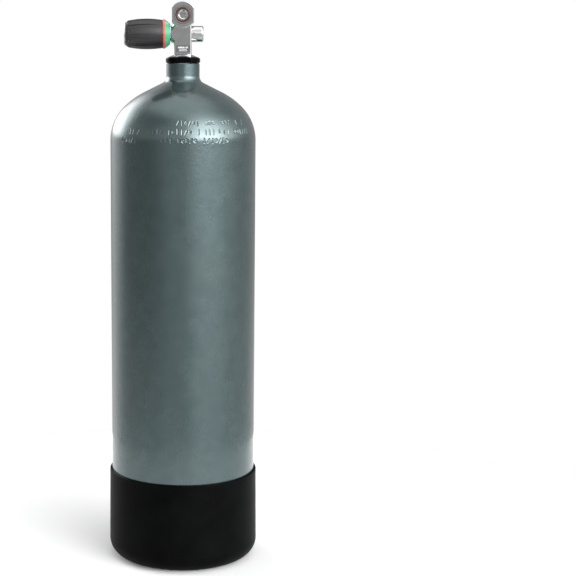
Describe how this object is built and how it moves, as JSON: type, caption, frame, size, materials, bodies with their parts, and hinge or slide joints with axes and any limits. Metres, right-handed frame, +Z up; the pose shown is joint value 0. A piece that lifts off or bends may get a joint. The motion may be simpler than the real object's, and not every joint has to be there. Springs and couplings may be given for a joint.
{
  "type": "scuba tank",
  "caption": "Steel diving cylinder with a domed shoulder, rubber boot and a chrome yoke valve with a ribbed shut-off knob.",
  "frame": {"origin": "centre of the boot's underside, on the cylinder's axis", "axes": "+Z up along the cylinder's axis, -Y is the side that the valve outlet faces, -X is the side that the knob points to"},
  "size_m": [0.1914, 0.1914, 0.7125],
  "materials": {
    "tank_paint": "metallic grey-green gloss paint with fine orange peel",
    "boot_rubber": "satin black",
    "valve_chrome": "polished",
    "seal_rubber": "dark red-brown satin",
    "plain_metal": "satin",
    "brass": "machined",
    "copper": "soft copper",
    "white_plastic": "matte",
    "knob_rubber": "satin black",
    "red_plastic": "satin",
    "green_plastic": "satin",
    "badge_plastic": "satin"
  },
  "bodies": {
    "tank": {"cylinder": "tank_paint", "boot": "boot_rubber", "neck_o_ring": "seal_rubber", "valve_body": "valve_chrome", "dip_tube": "plain_metal", "outlet_insert": "valve_chrome", "face_o_ring": "seal_rubber", "insert_o_ring": "seal_rubber", "bonnet_nut": "valve_chrome", "bonnet_washer": "white_plastic", "burst_gasket": "copper", "burst_disc": "copper", "burst_plug": "valve_chrome", "badge": "badge_plastic"},
    "handwheel": {"spindle": "brass", "spindle_o_ring": "seal_rubber", "thrust_washer": "white_plastic", "knob_hub": "brass", "knob_grip": "knob_rubber", "knob_end_ring": "plain_metal", "red_ring": "red_plastic", "green_ring": "green_plastic", "knob_spring": "plain_metal", "spring_washer": "plain_metal", "retaining_nut": "plain_metal"},
    "seat": {"seat_plug": "brass", "seat_disc": "white_plastic"}
  },
  "joints": [
    {"name": "knob_turn", "type": "hinge", "parent": "tank", "child": "handwheel", "pos_m": [-0.04, 0, 0.6722], "axis": [-1, 0, 0], "range_deg": [0, 810]},
    {"name": "seat_travel", "type": "slide", "parent": "handwheel", "child": "seat", "axis": [-1, 0, 0], "range_m": [0, 0.0023]}
  ],
  "couplings": [
    {"joint": "seat_travel", "follows": "knob_turn", "m_per_rad": 0.00015915}
  ]
}
